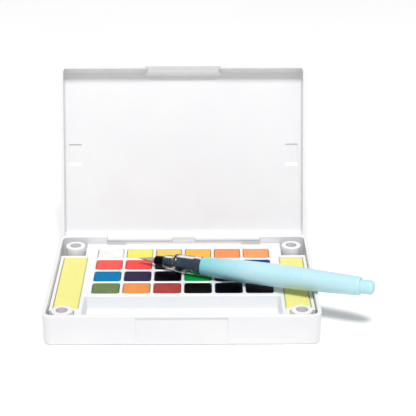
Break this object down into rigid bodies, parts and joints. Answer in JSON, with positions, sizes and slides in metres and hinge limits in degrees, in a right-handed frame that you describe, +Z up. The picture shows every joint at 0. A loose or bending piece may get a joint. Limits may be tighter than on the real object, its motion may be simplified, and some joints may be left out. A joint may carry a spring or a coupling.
{
  "type": "watercolor pan set",
  "caption": "Hinged white pocket case with a tray of watercolor pans, a mixing trough, sponge pads and a translucent water brush lying across it, lid open.",
  "frame": {"origin": "centre of the base's footprint, on its underside", "axes": "+Z up, +X to the right, the front of the case faces -Y and the hinge runs along X at the back"},
  "size_m": [0.1921, 0.1594, 0.1226],
  "materials": {
    "case_plastic": "satin white",
    "tray_plastic": "satin white",
    "pan_plastic": "white",
    "pin_steel": "drawn wire",
    "sponge_foam": "fine open-cell foam",
    "brush_aqua": "translucent aqua",
    "brush_clear": "clear",
    "brush_navy": "dark navy",
    "brush_black": "black",
    "brush_hair": "clear nylon hair",
    "paint_white": "dried watercolor, half gloss",
    "paint_lemon": "dried watercolor, half gloss",
    "paint_golden_yellow": "dried watercolor, half gloss",
    "paint_orange_yellow": "dried watercolor, half gloss",
    "paint_orange": "dried watercolor, half gloss",
    "paint_light_orange": "dried watercolor, half gloss",
    "paint_coral_red": "dried watercolor, half gloss",
    "paint_red": "dried watercolor, half gloss",
    "paint_crimson": "dried watercolor, half gloss",
    "paint_magenta": "dried watercolor, half gloss",
    "paint_violet_blue": "dried watercolor, half gloss",
    "paint_blue": "dried watercolor, half gloss",
    "paint_cerulean": "dried watercolor, half gloss",
    "paint_dark_violet": "dried watercolor, half gloss",
    "paint_black_violet": "dried watercolor, half gloss",
    "paint_green": "dried watercolor, half gloss",
    "paint_black_green": "dried watercolor, half gloss",
    "paint_leaf_green": "dried watercolor, half gloss",
    "paint_olive": "dried watercolor, half gloss",
    "paint_ochre": "dried watercolor, half gloss",
    "paint_brick": "dried watercolor, half gloss",
    "paint_dark_brown": "dried watercolor, half gloss",
    "paint_navy_black": "dried watercolor, half gloss",
    "paint_grey_black": "dried watercolor, half gloss"
  },
  "bodies": {
    "case": {"pan_tray": "tray_plastic", "pan_r1c1": "pan_plastic", "paint_r1c1": "paint_white", "pan_r1c2": "pan_plastic", "paint_r1c2": "paint_lemon", "pan_r1c3": "pan_plastic", "paint_r1c3": "paint_golden_yellow", "pan_r1c4": "pan_plastic", "paint_r1c4": "paint_orange_yellow", "pan_r1c5": "pan_plastic", "paint_r1c5": "paint_orange", "pan_r1c6": "pan_plastic", "paint_r1c6": "paint_light_orange", "pan_r2c1": "pan_plastic", "paint_r2c1": "paint_coral_red", "pan_r2c2": "pan_plastic", "paint_r2c2": "paint_red", "pan_r2c3": "pan_plastic", "paint_r2c3": "paint_crimson", "pan_r2c4": "pan_plastic", "paint_r2c4": "paint_magenta", "pan_r2c5": "pan_plastic", "paint_r2c5": "paint_violet_blue", "pan_r2c6": "pan_plastic", "paint_r2c6": "paint_blue", "pan_r3c1": "pan_plastic", "paint_r3c1": "paint_cerulean", "pan_r3c2": "pan_plastic", "paint_r3c2": "paint_dark_violet", "pan_r3c3": "pan_plastic", "paint_r3c3": "paint_black_violet", "pan_r3c4": "pan_plastic", "paint_r3c4": "paint_green", "pan_r3c5": "pan_plastic", "paint_r3c5": "paint_black_green", "pan_r3c6": "pan_plastic", "paint_r3c6": "paint_leaf_green", "pan_r4c1": "pan_plastic", "paint_r4c1": "paint_olive", "pan_r4c2": "pan_plastic", "paint_r4c2": "paint_ochre", "pan_r4c3": "pan_plastic", "paint_r4c3": "paint_brick", "pan_r4c4": "pan_plastic", "paint_r4c4": "paint_dark_brown", "pan_r4c5": "pan_plastic", "paint_r4c5": "paint_navy_black", "pan_r4c6": "pan_plastic", "paint_r4c6": "paint_grey_black", "case_base": "case_plastic", "corner_sockets": "case_plastic", "hinge_pins": "pin_steel"},
    "lid": {"case_lid": "case_plastic"},
    "brush": {"brush_barrel": "brush_aqua"},
    "brush_head": {"brush_collar": "brush_clear", "brush_feed": "brush_navy", "brush_ferrule": "brush_black", "brush_bristles": "brush_hair"},
    "left_pad": {"sponge_left": "sponge_foam"},
    "right_pad": {"sponge_right": "sponge_foam"}
  },
  "joints": [
    {"name": "lid_hinge", "type": "hinge", "parent": "case", "child": "lid", "pos_m": [0, 0.0556, 0.01715], "axis": [1, 0, 0], "range_deg": [0, 109]},
    {"name": "brush_lift", "type": "slide", "parent": "case", "child": "brush", "axis": [0, -0.94, 0.3412], "range_m": [0, 0.11]},
    {"name": "brush_head_turn", "type": "hinge", "parent": "brush", "child": "brush_head", "pos_m": [-0.0041, 0.01125, 0.02048], "axis": [0.9137, -0.4024, 0.0572], "range_deg": [0, 360]},
    {"name": "left_pad_lift", "type": "slide", "parent": "case", "child": "left_pad", "axis": [0, 0, 1], "range_m": [0, 0.0085]},
    {"name": "right_pad_lift", "type": "slide", "parent": "case", "child": "right_pad", "axis": [0, 0, 1], "range_m": [0, 0.0018]}
  ],
  "couplings": [
    {"joint": "brush_lift", "follows": "lid_hinge", "m_per_rad": 0.0575}
  ]
}
